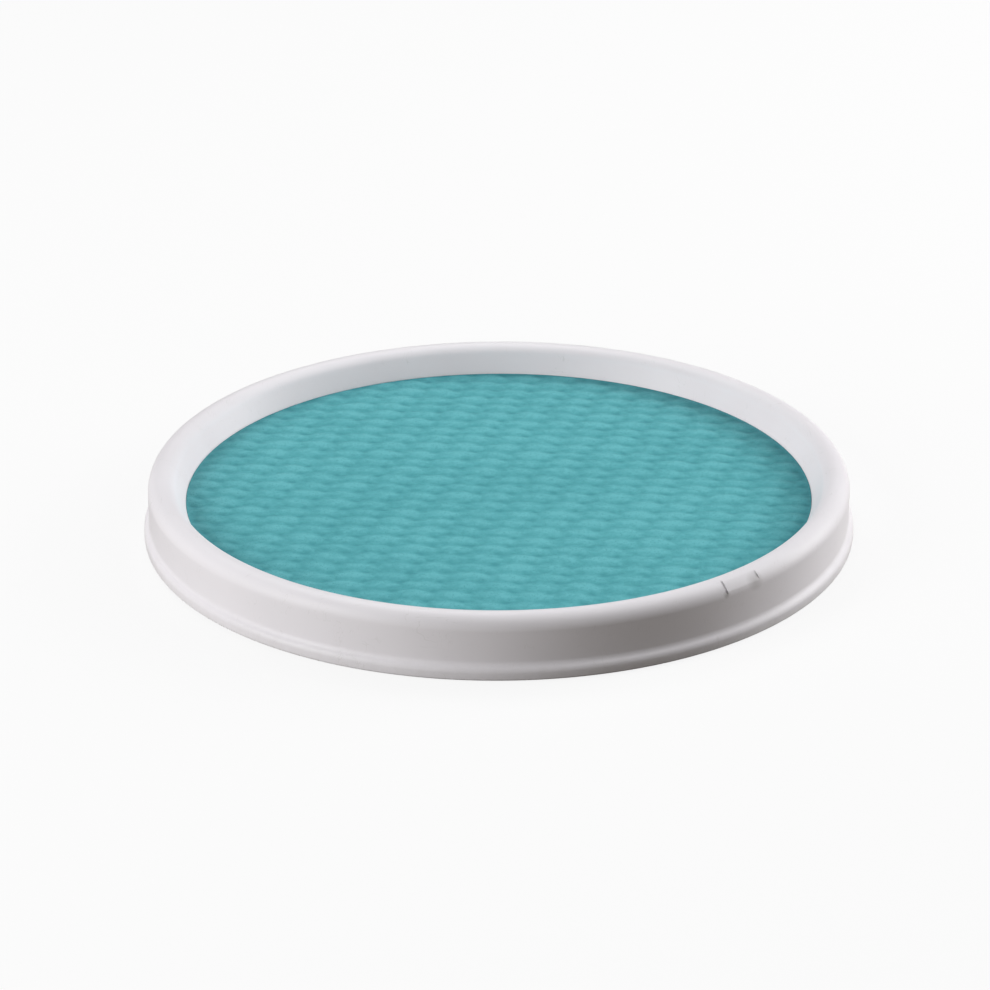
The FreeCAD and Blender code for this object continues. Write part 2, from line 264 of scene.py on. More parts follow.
gussets = bevelled_block(
    "gussets",
    Vector((dish_high.x + GUSSET_GAP, -GUSSET_THICKNESS / 2, SKIRT_LOW)),
    Vector((CHANNEL_OUT_R + GUSSET_SINK, GUSSET_THICKNESS / 2, ROOF_Z + GUSSET_SINK)),
    GUSSET_ROUND,
)
copy_round(GUSSET_COUNT)
finish_piece(gussets)
combine(rim, gussets, "UNION")
finish_piece(rim)

# %% [markdown]
# The flat is cut from the finished ring, as a mould maker cuts it into the finished mould. A wedge with a
# three-cornered section is spun through a few degrees and taken away, which leaves a flat on the round
# shoulder. A second wedge, narrow and a little deeper, makes the nick. Moving points by hand would do
# too, but the two ends of the flat would not come out as crisp.

# %% Lift flat
FLAT_START = -52.7
FLAT_SWEEP = 7
FLAT_DEPTH = 0.25 * MM
FLAT_STEPS = 14
NICK_SWEEP = 0.45
NICK_DEPTH = 0.55 * MM
NICK_STEPS = 2
CUTTER_SPARE = 1.0 * MM


def cut_shoulder(name, start, sweep, depth, steps):
    """Takes a chord off the outer shoulder of the crest over a few degrees."""
    leg = 2 * CREST_RADIUS - math.sqrt(2) * (CREST_RADIUS - depth)
    cutter = draw_section(name, [
        (SKIRT_R + CUTTER_SPARE, CREST_TOP - leg - CUTTER_SPARE),
        (SKIRT_R + CUTTER_SPARE, CREST_TOP + CUTTER_SPARE),
        (SKIRT_R - leg - CUTTER_SPARE, CREST_TOP + CUTTER_SPARE),
    ])
    bpy.ops.mesh.edge_face_add()
    bpy.ops.mesh.spin(steps=steps, angle=math.radians(sweep), center=(0, 0, 0), axis=(0, 0, 1))
    bpy.ops.mesh.select_all(action="SELECT")
    bpy.ops.mesh.normals_make_consistent(inside=False)
    bpy.ops.object.mode_set(mode="OBJECT")
    turned_left = max(point.co.y for point in cutter.data.vertices) > SAME_PLACE
    turn = start if turned_left else start + sweep
    cutter.data.transform(Matrix.Rotation(math.radians(turn), 4, "Z"))
    combine(rim, cutter, "DIFFERENCE")


cut_shoulder("lift_flat", FLAT_START, FLAT_SWEEP, FLAT_DEPTH, FLAT_STEPS)
cut_shoulder("lift_nick", FLAT_START - NICK_SWEEP / 2, NICK_SWEEP, NICK_DEPTH, NICK_STEPS)
finish_piece(rim, smooth_angle=25)
settle(rim, ["rim_ring"], "rim")

# %% [markdown]
# ## The water dish
# Under the sponge is a shallow dish that holds the water. Its wall runs up inside the crest to the seal.
# Below, a hub ring, a rim ring and six spokes keep its thin floor flat, and six collars take the feet.
# The dish and its two rings are one section, spun; the spokes and the collars are made once, copied round
# and joined to it.

# %% Spin the dish
DISH_STEPS = 240
DISH_WALL = 1.8 * MM
DISH_FLOOR = 1.8 * MM
DISH_FILLET = 2.0 * MM
UNDER_FLOOR = 1.7 * MM
HUB_R = 15.0 * MM
RIB_DEPTH = 1.2 * MM
RIB_WIDTH = 1.5 * MM
RIB_ROUND = 0.25 * MM

DISH_OUT_R = dish_high.x
DISH_IN_R = DISH_OUT_R - DISH_WALL
DISH_TOP = dish_high.z
FLOOR_LOW = dish_low.z + UNDER_FLOOR
FLOOR_TOP = FLOOR_LOW + DISH_FLOOR
RIB_LOW = FLOOR_LOW - RIB_DEPTH
corner_round = DISH_WALL / 2
rim_rib_r = DISH_IN_R - RIB_WIDTH


def ring_rib(inner):
    """Section of a round rib that stands down from the floor."""
    outer = inner + RIB_WIDTH
    return (
        [(inner, FLOOR_LOW)]
        + arc(inner + RIB_ROUND, RIB_LOW + RIB_ROUND, RIB_ROUND, 180, 270, 3)
        + arc(outer - RIB_ROUND, RIB_LOW + RIB_ROUND, RIB_ROUND, 270, 360, 3)
        + [(outer, FLOOR_LOW)]
    )


dish_section = (
    [(0.0, FLOOR_LOW)]
    + ring_rib(HUB_R)
    + ring_rib(rim_rib_r)
    + arc(DISH_OUT_R - corner_round, FLOOR_LOW + corner_round, corner_round, 270, 360, 6)
    + arc(DISH_OUT_R - EDGE_ROUND, DISH_TOP - EDGE_ROUND, EDGE_ROUND, 0, 90, 4)
    + arc(DISH_IN_R + EDGE_ROUND, DISH_TOP - EDGE_ROUND, EDGE_ROUND, 90, 180, 4)
    + arc(DISH_IN_R - DISH_FILLET, FLOOR_TOP + DISH_FILLET, DISH_FILLET, 360, 270, 8)
    + [(0.0, FLOOR_TOP)]
)
dish = draw_section("water_dish", dish_section, closed=False)
spin_round(DISH_STEPS)
finish_piece(dish)

# %% [markdown]
# The spokes and the collars stand six times under the floor. One spoke is a bevelled cube and one collar
# is a spun section. Each is copied round by a spin that keeps the copies apart, and then joined to the
# dish, so that the dish stays one moulding.

# %% Spokes and collars
FOOT_COUNT = 6
COLLAR_STEPS = 48
COLLAR_WALL = 1.5 * MM
STEM_SLACK = 0.1 * MM
STEM_R = 2.5 * MM

foot_low, foot_high = (Vector(corner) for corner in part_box("foot_1"))
FOOT_X = (foot_low.x + foot_high.x) / 2
FOOT_R = (foot_high.x - foot_low.x) / 2
PAD_TOP = dish_low.z

spokes = bevelled_block(
    "spokes",
    Vector((HUB_R + RIB_WIDTH / 2, -RIB_WIDTH / 2, RIB_LOW)),
    Vector((rim_rib_r + RIB_WIDTH / 2, RIB_WIDTH / 2, FLOOR_LOW + DISH_FLOOR / 2)),
    RIB_ROUND,
)
half_step = math.pi / FOOT_COUNT
bpy.ops.object.mode_set(mode="OBJECT")
spokes.data.transform(Matrix.Rotation(half_step, 4, "Z"))
bpy.ops.object.mode_set(mode="EDIT")
bpy.ops.mesh.select_all(action="SELECT")
copy_round(FOOT_COUNT)
finish_piece(spokes)
combine(dish, spokes, "UNION")

collar_in, collar_out = STEM_R + STEM_SLACK, FOOT_R + COLLAR_WALL
collar_top = FLOOR_LOW + DISH_FLOOR / 3
collars = draw_section("collars", [
    (FOOT_X + collar_in, PAD_TOP),
    *arc(FOOT_X + collar_out - EDGE_ROUND, PAD_TOP + EDGE_ROUND, EDGE_ROUND, 270, 360, 3),
    (FOOT_X + collar_out, collar_top),
    (FOOT_X + collar_in, collar_top),
])
spin_round(COLLAR_STEPS, axis_x=FOOT_X)
copy_round(FOOT_COUNT)
finish_piece(collars)
combine(dish, collars, "UNION")
finish_piece(dish, smooth_angle=30)
settle(dish, ["water_basin"], "basin")

# %% [markdown]
# ## The seal
# A soft flat ring lies in the roof of the crest and takes the top of the basin wall, so that the damp
# stays in. It is a spun section with rounded corners and a shallow groove along the middle of its lower
# face, which gives it two lips.

# %% Spin the seal
SEAL_ROUND = 0.35 * MM
SEAL_GROOVE = 0.25 * MM
SEAL_SLACK = 0.1 * MM

seal_out = seal_high.x
seal_in = CHANNEL_IN_R + SEAL_SLACK
seal_middle = (seal_in + seal_out) / 2
seal = draw_section("sealing_ring", (
    arc(seal_in + SEAL_ROUND, seal_low.z + SEAL_ROUND, SEAL_ROUND, 180, 270, 4)
    + arc(seal_middle, seal_low.z, SEAL_GROOVE, 180, 0, 6)
    + arc(seal_out - SEAL_ROUND, seal_low.z + SEAL_ROUND, SEAL_ROUND, 270, 360, 4)
    + [(seal_out, seal_high.z), (seal_in, seal_high.z)]
))
spin_round(DISH_STEPS)
finish_piece(seal)
settle(seal, ["seal_ring"], "rim")

# %% [markdown]
# ## The feet
# Each foot is a rubber plug: a round pad that stands on the table, with two grip grooves in its
# underside, and a stem that is pushed into its collar. One is spun about its own axis, then copied round,
# each with its own mesh.

# %% Rubber feet
FOOT_STEPS = 48
FOOT_ROUND = 0.5 * MM
STEM_ROUND = 0.4 * MM
GRIP_GROOVE = 0.35 * MM
GRIP_RADII = (2.2 * MM, 4.0 * MM)
STEM_TOP = foot_high.z

grip = [
    point
    for radius in GRIP_RADII
    for point in arc(FOOT_X + radius, foot_low.z, GRIP_GROOVE, 180, 0, 5)
]
foot = draw_section("rubber_foot_1", (
    [(FOOT_X, foot_low.z)]
    + grip
    + arc(FOOT_X + FOOT_R - FOOT_ROUND, foot_low.z + FOOT_ROUND, FOOT_ROUND, 270, 360, 5)
    + [(FOOT_X + FOOT_R, PAD_TOP), (FOOT_X + STEM_R, PAD_TOP)]
    + arc(FOOT_X + STEM_R - STEM_ROUND, STEM_TOP - STEM_ROUND, STEM_ROUND, 0, 90, 4)
    + [(FOOT_X, STEM_TOP)]
), closed=False)
spin_round(FOOT_STEPS, axis_x=FOOT_X)
feet = [finish_piece(foot)]
for number in range(2, FOOT_COUNT + 1):
    copy = foot.copy()
    copy.data = foot.data.copy()
    copy.name = f"rubber_foot_{number}"
    copy.data.transform(Matrix.Rotation(math.tau * (number - 1) / FOOT_COUNT, 4, "Z"))
    bpy.context.collection.objects.link(copy)
    feet.append(copy)
for number, foot in enumerate(feet, start=1):
    settle(foot, [f"foot_{number}"], "basin")

# %% [markdown]
# ## The sponge
# The sponge is a disc of cellulose pressed with rows of small pillows. Each row is shifted sideways a
# little from the last, so that the pillows stand in slanting columns, and each pillow leans down to the
# right. A fine grid is stretched into a disc, with near-square faces right out to the edge, and its
# points are raised and lowered by a formula, as a sculptor would press the pattern in. Cloth simulation
# would swell the disc but not press it.

# %% Sponge disc
SPONGE_SWELL = 0.1 * MM
SPONGE_R = sponge_high.x + SPONGE_SWELL
SPONGE_LOW = sponge_low.z
SPONGE_TOP = sponge_high.z
GRID_ACROSS = 230
GRID_ALONG = 372

deselect_all()
bpy.ops.mesh.primitive_grid_add(x_subdivisions=GRID_ACROSS, y_subdivisions=GRID_ALONG, size=2)
sponge = bpy.context.object
sponge.name = "embossed_sponge"
square = np.empty(len(sponge.data.vertices) * 3)
sponge.data.vertices.foreach_get("co", square)
square = square.reshape(-1, 3)
disc_x = square[:, 0] * np.sqrt(1 - square[:, 1] ** 2 / 2) * SPONGE_R
disc_y = square[:, 1] * np.sqrt(1 - square[:, 0] ** 2 / 2) * SPONGE_R
print(f"{sponge.name}: {len(square)} points on the disc")

# %% [markdown]
# The rollers that press such a sponge leave a lattice, so the pattern is a sum of waves: one across the
# rows, one across the slanting columns, and three more that count both. Together they raise lens-shaped
# pillows whose left end lies further back than the right, and a power below 1 fills them out, so that the
# grooves between them are narrow. Slow drifts keep the rows from running as straight as a ruler, and a
# table of seeded numbers makes some pillows fuller than others.

# %% Pressed pattern
ROW_PITCH, ROW_TURN, ROW_START = 5.898 * MM, 87.8, 231
COLUMN_PITCH, COLUMN_TURN, COLUMN_START = 10.249 * MM, 160.9, 45
WAVES = (  # rows and columns counted, strength, start in degrees
    (1, 0, 1.00, 0),
    (0, 1, 0.75, 0),
    (1, -1, 0.71, -20),
    (1, -2, 0.24, -151),
    (1, 1, 0.17, 178),
)
EMBOSS_DEPTH = 0.55 * MM
PILLOW_FULLNESS = 0.6
EDGE_LEVEL = 0.8
EDGE_FALL = 0.05 * MM
EDGE_BAND = 0.9 * MM
ROW_DRIFTS = ((0.105, 3.6 * MM, 0.4), (0.06, 17 * MM, 1.1))  # strength in rows, scale, phase
COLUMN_DRIFTS = ((0.075, 3.2 * MM, 2.1), (0.05, 23 * MM, 0.3))  # strength in columns, scale, phase
CELL_COUNT = 64
FULLNESS_SEED = 7
LEAST_FULL, MOST_FULL = 0.78, 1.10
cell_fullness = np.random.default_rng(FULLNESS_SEED).uniform(LEAST_FULL, MOST_FULL, (CELL_COUNT, CELL_COUNT))


def drift(x, y, scale, phase):
    """A smooth wandering value between -1 and 1, the same on every run."""
    along = np.sin(x / scale + 1.7 * np.sin(y / scale * 0.8 + phase) + phase)
    aside = np.sin(y / scale * 1.1 + 1.3 * np.sin(x / scale * 0.7 - phase) - 2 * phase)
    return (along + aside) / 2


def count_lines(x, y, pitch, turn, start):
    """How many lines of a ruled pattern lie between the middle and each point."""
    return (x * math.cos(math.radians(turn)) + y * math.sin(math.radians(turn))) / pitch + start / 360


def wander(lines, x, y, drifts):
    """The counted lines, moved aside by slow drifts."""
    for strength, scale, phase in drifts:
        lines = lines + strength * drift(x, y, scale, phase)
    return lines


def pressed_height(x, y):
    """Height of the pattern, from 0 in the deepest grooves to about 1 on the fullest pillows."""
    rows = wander(count_lines(x, y, ROW_PITCH, ROW_TURN, ROW_START), x, y, ROW_DRIFTS)
    columns = wander(count_lines(x, y, COLUMN_PITCH, COLUMN_TURN, COLUMN_START), x, y, COLUMN_DRIFTS)
    raised = sum(
        strength * np.cos(math.tau * (by_row * rows + by_column * columns) + math.radians(start))
        for by_row, by_column, strength, start in WAVES
    )
    raised = ((raised - raised.min()) / (raised.max() - raised.min())) ** PILLOW_FULLNESS
    pillow = np.round(rows).astype(int) % CELL_COUNT, np.round(columns).astype(int) % CELL_COUNT
    return raised * cell_fullness[pillow]


height = np.clip(pressed_height(disc_x, disc_y), 0, 1)
inwards = np.clip((SPONGE_R - np.hypot(disc_x, disc_y)) / EDGE_BAND, 0, 1)
height = EDGE_LEVEL + (height - EDGE_LEVEL) * inwards
edge_fall = EDGE_FALL * (1 - np.sqrt(1 - (1 - inwards) ** 2))
disc_z = SPONGE_TOP - EMBOSS_DEPTH * (1 - height) - edge_fall
sponge.data.vertices.foreach_set("co", np.stack([disc_x, disc_y, disc_z], axis=1).ravel())
emboss = sponge.data.attributes.new("emboss", "FLOAT", "POINT")
emboss.data.foreach_set("value", height)
sponge.data.update()
print(
    f"pillows {ROW_PITCH / MM:.2f} by {COLUMN_PITCH / MM:.1f} mm,"
    f" pressed {EMBOSS_DEPTH / MM:.2f} mm deep"
)

# %% [markdown]
# The open edge of the grid is drawn down in steps for the side, turned in underneath and closed, so that
# the sponge is whole when it is lifted out.

# %% Sponge side and underside
SIDE_STEPS = 5
UNDER_ROUND = 0.6 * MM
UNDER_TURNS = (0.4, 0.8, 1.0)  # shares of the round that each step turns in
UNDER_PATCH = 0.6

deselect_all()
bpy.context.view_layer.objects.active = sponge
sponge.select_set(True)
bpy.ops.object.mode_set(mode="EDIT")
bpy.ops.mesh.select_mode(type="EDGE")
bpy.ops.mesh.select_all(action="DESELECT")
bpy.ops.mesh.select_non_manifold(extend=False)
side_drop = (SPONGE_LOW + UNDER_ROUND - (SPONGE_TOP - EMBOSS_DEPTH - EDGE_FALL)) / SIDE_STEPS
for step in range(SIDE_STEPS):
    bpy.ops.mesh.extrude_region_move(TRANSFORM_OT_translate={"value": (0, 0, side_drop)})
for part in UNDER_TURNS:
    bpy.ops.mesh.extrude_region_move(TRANSFORM_OT_translate={"value": (0, 0, 0)})
    shrink = 1 - UNDER_ROUND * part / SPONGE_R
    bpy.ops.transform.resize(value=(shrink, shrink, 1), center_override=(0, 0, 0))
    bpy.ops.transform.translate(value=(0, 0, -UNDER_ROUND / len(UNDER_TURNS)))
bpy.ops.mesh.extrude_region_move(TRANSFORM_OT_translate={"value": (0, 0, 0)})
bpy.ops.transform.resize(value=(UNDER_PATCH, UNDER_PATCH, 1), center_override=(0, 0, 0))
bpy.ops.mesh.edge_face_add()
bpy.ops.object.mode_set(mode="OBJECT")
co = np.empty(len(sponge.data.vertices) * 3)
sponge.data.vertices.foreach_get("co", co)
co = co.reshape(-1, 3)
co[:, 2] = np.maximum(co[:, 2], SPONGE_LOW)
sponge.data.vertices.foreach_set("co", co.ravel())
bpy.ops.object.mode_set(mode="EDIT")
bpy.ops.mesh.select_all(action="SELECT")
bpy.ops.mesh.normals_make_consistent(inside=False)
finish_piece(sponge, smooth_angle=60)
settle(sponge, ["sponge"], "sponge_pad")

# %% [markdown]
# ## Materials
# Every finish is made of nodes that read Object coordinates, so that a pattern keeps its real size. What
# more than one finish needs, such as the fine grain of a mould or the marks of handling, is a node group
# that is built once and placed in each material with its own values. First come a few helpers that add
# and join nodes.

# %% Node helpers
def add(tree, kind, **settings):
    node = tree.nodes.new(kind)
    for name, value in settings.items():
        setattr(node, name, value)
    return node


def feed(tree, socket, value):
    """Links a socket to a socket, or sets a plain number or colour on it."""
    if isinstance(value, bpy.types.NodeSocket):
        tree.links.new(value, socket)
    elif isinstance(value, tuple) and len(value) == 3 and socket.type == "RGBA":
        socket.default_value = (*value, 1)
    else:
        socket.default_value = value


def set_inputs(tree, node, **values):
    for name, value in values.items():
        feed(tree, node.inputs[name.replace("_", " ")], value)
    return node


def object_place(tree):
    return add(tree, "ShaderNodeTexCoord").outputs["Object"]


def noise(tree, place, scale, detail=3.0, roughness=0.5):
    node = set_inputs(tree, add(tree, "ShaderNodeTexNoise"), Vector=place, Scale=scale, Detail=detail)
    node.inputs["Roughness"].default_value = roughness
    return node.outputs["Fac"]


def span(tree, value, low, high, to_low=0.0, to_high=1.0):
    """The value's stretch from low to high, spread from to_low to to_high and held there."""
    node = add(tree, "ShaderNodeMapRange", clamp=True)
    for socket, number in zip(node.inputs, (value, low, high, to_low, to_high)):
        feed(tree, socket, number)
    return node.outputs[0]


def blend(tree, mask, first, second, kind="RGBA", way="MIX"):
    """The first colour or number where the mask is 0, and the second, or their product, where it is 1."""
    node = add(tree, "ShaderNodeMix", data_type=kind, blend_type=way)
    first_socket, second_socket = (6, 7) if kind == "RGBA" else (2, 3)
    feed(tree, node.inputs[0], mask)
    feed(tree, node.inputs[first_socket], first)
    feed(tree, node.inputs[second_socket], second)
    return node.outputs[2 if kind == "RGBA" else 0]


def maths(tree, operation, first, second=None):
    node = add(tree, "ShaderNodeMath", operation=operation)
    feed(tree, node.inputs[0], first)
    if second is not None:
        feed(tree, node.inputs[1], second)
    return node.outputs[0]


def bump(tree, shader, height, strength, distance):
    node = set_inputs(tree, add(tree, "ShaderNodeBump"), Height=height, Strength=strength, Distance=distance)
    tree.links.new(node.outputs["Normal"], shader.inputs["Normal"])


def new_material(name):
    material = bpy.data.materials.new(name)
    material.use_nodes = True
    return material, material.node_tree, material.node_tree.nodes["Principled BSDF"]


def new_group(name, inputs, outputs):
    """A shader node group with named sockets, and its inner ends."""
    group = bpy.data.node_groups.new(name, "ShaderNodeTree")
    for label, kind in inputs:
        group.interface.new_socket(name=label, in_out="INPUT", socket_type=kind)
    for label, kind in outputs:
        group.interface.new_socket(name=label, in_out="OUTPUT", socket_type=kind)
    return group, group.nodes.new("NodeGroupInput").outputs, group.nodes.new("NodeGroupOutput").inputs


def place_group(tree, group, **values):
    return set_inputs(tree, add(tree, "ShaderNodeGroup", node_tree=group), **values).outputs


def paint(piece, material):
    piece.data.materials.clear()
    piece.data.materials.append(material)


FLOAT, COLOUR = "NodeSocketFloat", "NodeSocketColor"
NOISE_MIDDLE = (0.3, 0.7)

# %% [markdown]
# ### Grain of a moulding
# A moulded plastic is never quite even. Its colour drifts a little over centimetres, its gloss is uneven
# where it cooled against the mould, and its skin has a fine grain. One group gives all three, and both
# plastics share it.

# %% Moulding grain
CLOUD_SCALE = 22
PATCH_SCALE = 60
GRAIN_SCALE = 2600

grain_group, given, made = new_group(
    "moulding_grain",
    [("Light", COLOUR), ("Dark", COLOUR), ("Smooth", FLOAT), ("Rough", FLOAT)],
    [("Color", COLOUR), ("Roughness", FLOAT), ("Height", FLOAT)],
)
place = object_place(grain_group)
cloud = span(grain_group, noise(grain_group, place, CLOUD_SCALE, detail=4), *NOISE_MIDDLE)
feed(grain_group, made["Color"], blend(grain_group, cloud, given["Light"], given["Dark"]))
patches = noise(grain_group, place, PATCH_SCALE, detail=5, roughness=0.6)
patchy = span(grain_group, patches, 0.35, 0.7)
feed(grain_group, made["Roughness"], blend(grain_group, patchy, given["Smooth"], given["Rough"], "FLOAT"))
feed(grain_group, made["Height"], noise(grain_group, place, GRAIN_SCALE, detail=2))
print("group:", grain_group.name)

# %% [markdown]
# ### Handling marks
# White plastic that is handled picks up hairline scuffs. A noise that is stretched long and thin gives
# lines when only its middle is kept, and a slow noise breaks them into short runs. Two layers lie across
# each other.

# %% Handling marks
SCUFF_LAYERS = ((0.5, (40, 900, 300)), (2.1, (700, 50, 260)))  # turn about the upright, stretch
SCUFF_TILT = (0.3, 0.2)
HAIRLINE_WIDTH = 0.012
RUN_SCALE = 70
RUN_SCALE_PER_TURN = 30
RUN_LIMITS = (0.56, 0.66)

marks_group, given, made = new_group("handling_marks", [("Amount", FLOAT)], [("Mask", FLOAT)])
layers = []
for turn, stretch in SCUFF_LAYERS:
    mapping = add(marks_group, "ShaderNodeMapping")
    mapping.inputs["Rotation"].default_value = (*SCUFF_TILT, turn)
    mapping.inputs["Scale"].default_value = stretch
    feed(marks_group, mapping.inputs["Vector"], object_place(marks_group))
    lines = noise(marks_group, mapping.outputs[0], 1.0, detail=1)
    from_middle = maths(marks_group, "ABSOLUTE", maths(marks_group, "SUBTRACT", lines, 0.5))
    hairline = span(marks_group, from_middle, 0.0, HAIRLINE_WIDTH, 1.0, 0.0)
    run_scale = RUN_SCALE + RUN_SCALE_PER_TURN * turn
    broken = noise(marks_group, object_place(marks_group), run_scale, detail=2)
    runs = span(marks_group, broken, *RUN_LIMITS)
    layers.append(maths(marks_group, "MULTIPLY", hairline, runs))
both_layers = maths(marks_group, "MAXIMUM", *layers)
feed(marks_group, made["Mask"], maths(marks_group, "MULTIPLY", both_layers, given["Amount"]))
print("group:", marks_group.name)

# %% [markdown]
# ### Settled dust
# Near the table dust gathers on a hem and on rubber. The mask grows towards the table and is broken up by
# noise.

# %% Settled dust
DUST_SCALE = 380

dust_group, given, made = new_group("settled_dust", [("Reach", FLOAT), ("Amount", FLOAT)], [("Mask", FLOAT)])
split = add(dust_group, "ShaderNodeSeparateXYZ")
feed(dust_group, split.inputs[0], object_place(dust_group))
share = maths(dust_group, "DIVIDE", split.outputs["Z"], given["Reach"])
near_table = span(dust_group, share, 0.0, 1.0, 1.0, 0.0)
flecks = noise(dust_group, object_place(dust_group), DUST_SCALE, detail=5, roughness=0.7)
broken = span(dust_group, flecks, 0.35, 0.75)
settled = maths(dust_group, "MULTIPLY", near_table, broken)
feed(dust_group, made["Mask"], maths(dust_group, "MULTIPLY", settled, given["Amount"]))
print("group:", dust_group.name)

# %% [markdown]
# ### White plastics
# The rim is a satin white with the faintest violet cast; the basin is a duller white. Both take the
# grain, the marks and the dust. A mark is a touch darker and rougher than the skin, and dust is warm and
# matt. At the two ends of the lift flat the rim is painted a little grey: in the nick this is painted
# shade, and at the far end it is a soft grey spot. Down the inner slope of the rim, and faintly inside
# the basin, the white is painted a warm tint that cancels the teal light bounced onto it from the sponge.

# %% Rim and basin plastic
MARK_TONE = (0.62, 0.61, 0.60)
DUST_TONE = (0.55, 0.52, 0.48)
# Painted grey at the two ends of the lift flat; at the nick it is painted shade.
FLAT_END_GREY = (0.55, 0.54, 0.52)
# Painted counter-light: a warm tint down the inner slope cancels the teal light that the sponge bounces onto
# it.
BOUNCE_TINT = (1.0, 0.955, 0.95)
BOUNCE_TINT_TOP_R = CREST_R - CREST_RADIUS / 2
BOUNCE_TINT_FADE = 2.0 * MM
BOUNCE_TINT_SCALE = 45
BOUNCE_TINT_LEAST = 0.75
FLAT_END_SPOTS = (  # angle in degrees, height, reach, strength
    (-52.8, 14.7 * MM, 1.3 * MM, 0.9),
    (-46.6, 15.6 * MM, 3.2 * MM, 0.7),
)
HEM_DUST_REACH = 5.5 * MM
MARK_ROUGHNESS = 0.25
DUST_ROUGHNESS = 0.3
SCRATCH_DEPTH = 0.6
GRAIN_STRENGTH = 0.22
GRAIN_HEIGHT = 0.05 * MM
PLASTIC_IOR = 1.49
PLASTIC_SPECULAR = 0.2


def flat_end_grey_mask(tree):
    """A soft grey mask round each end of the lift flat: painted shade in the nick, and a grey spot at the
    far end.
    """
    end_grey = 0.0
    for turn, up, reach, strength in FLAT_END_SPOTS:
        spot = (SKIRT_R * math.cos(math.radians(turn)), SKIRT_R * math.sin(math.radians(turn)), up)
        away = add(tree, "ShaderNodeVectorMath", operation="DISTANCE")
        feed(tree, away.inputs[0], object_place(tree))
        feed(tree, away.inputs[1], spot)
        end_grey = maths(tree, "MAXIMUM", end_grey, span(tree, away.outputs["Value"], 0.0, reach, strength, 0.0))
    return end_grey


def from_axis(tree, shift=(0, 0, 0)):
    """Distance from the upright axis of the palette, once the surface is shifted sideways."""
    flat = add(tree, "ShaderNodeVectorMath", operation="MULTIPLY_ADD")
    for socket, value in zip(flat.inputs, (object_place(tree), (1, 1, 0), shift)):
        feed(tree, socket, value)
    length = add(tree, "ShaderNodeVectorMath", operation="LENGTH")
    feed(tree, length.inputs[0], flat.outputs[0])
    return length.outputs["Value"]


# Painted counter-light on the inner slope, against the teal light bounced from the sponge.
def bounce_tint_mask(tree, amount):
    """A mask that grows from the crest of the rim down its inner slope, a little uneven."""
    inside = span(tree, from_axis(tree), BOUNCE_TINT_TOP_R - BOUNCE_TINT_FADE, BOUNCE_TINT_TOP_R, 1.0, 0.0)
    spots = noise(tree, object_place(tree), BOUNCE_TINT_SCALE)
    uneven = span(tree, spots, *NOISE_MIDDLE, BOUNCE_TINT_LEAST * amount, amount)
    return maths(tree, "MULTIPLY", inside, uneven)


def white_plastic(name, light, dark, smooth, rough, marks, dust, bounce_tint_amount):
    material, tree, shader = new_material(name)
    grain = place_group(tree, grain_group, Light=light, Dark=dark, Smooth=smooth, Rough=rough)
    mark = place_group(tree, marks_group, Amount=marks)["Mask"]
    dusty = place_group(tree, dust_group, Reach=HEM_DUST_REACH, Amount=dust)["Mask"]
    wear_and_painted_light = blend(tree, mark, grain["Color"], MARK_TONE)
    # Painted shade in the nick, and a grey spot at the far end of the flat.
    wear_and_painted_light = blend(tree, flat_end_grey_mask(tree), wear_and_painted_light, FLAT_END_GREY, way="MULTIPLY")
    # Painted counter-light: the warm tint down the inner slope.
    wear_and_painted_light = blend(tree, bounce_tint_mask(tree, bounce_tint_amount), wear_and_painted_light, BOUNCE_TINT, way="MULTIPLY")
    feed(tree, shader.inputs["Base Color"], blend(tree, dusty, wear_and_painted_light, DUST_TONE))
    rougher = maths(tree, "ADD", grain["Roughness"], maths(tree, "MULTIPLY", mark, MARK_ROUGHNESS))
    rougher = maths(tree, "ADD", rougher, maths(tree, "MULTIPLY", dusty, DUST_ROUGHNESS))
    feed(tree, shader.inputs["Roughness"], rougher)
    scratched = maths(tree, "SUBTRACT", grain["Height"], maths(tree, "MULTIPLY", mark, SCRATCH_DEPTH))
    bump(tree, shader, scratched, GRAIN_STRENGTH, GRAIN_HEIGHT)
    shader.inputs["IOR"].default_value = PLASTIC_IOR
    shader.inputs["Specular IOR Level"].default_value = PLASTIC_SPECULAR
    return material


paint(rim, white_plastic(
    "rim_plastic", light=(0.87, 0.847, 0.877), dark=(0.83, 0.807, 0.837),
    smooth=0.36, rough=0.46, marks=0.35, dust=0.25, bounce_tint_amount=1.0,
))
paint(dish, white_plastic(
    "basin_plastic", light=(0.80, 0.80, 0.81), dark=(0.75, 0.75, 0.77),
    smooth=0.45, rough=0.60, marks=0.45, dust=0.40, bounce_tint_amount=0.2,
))
print("painted:", rim.name, dish.name)

# %% [markdown]
# ### Cellulose
# Wet cellulose is a soft teal with a fine open pore. Its pillows are painted paler and its grooves and
# pores darker, as painted light and shade of the pressed relief, and the colour wanders over the disc as
# the sponge dries unevenly. Towards its edge the disc is painted darker, most of all at the back right,
# as painted shade of the rim wall. The height of the pressed pattern was kept on the mesh as an
# attribute, so that the colour can follow it exactly.

# %% Sponge cellulose
# Painted light and shade of the pressed relief: the lit teal goes on the pillow tops, the shaded teal in the
# grooves and pores.
TEAL_SHADED = (0.068, 0.326, 0.365)
TEAL_MAIN = (0.099, 0.409, 0.451)
TEAL_LIT = (0.141, 0.496, 0.542)
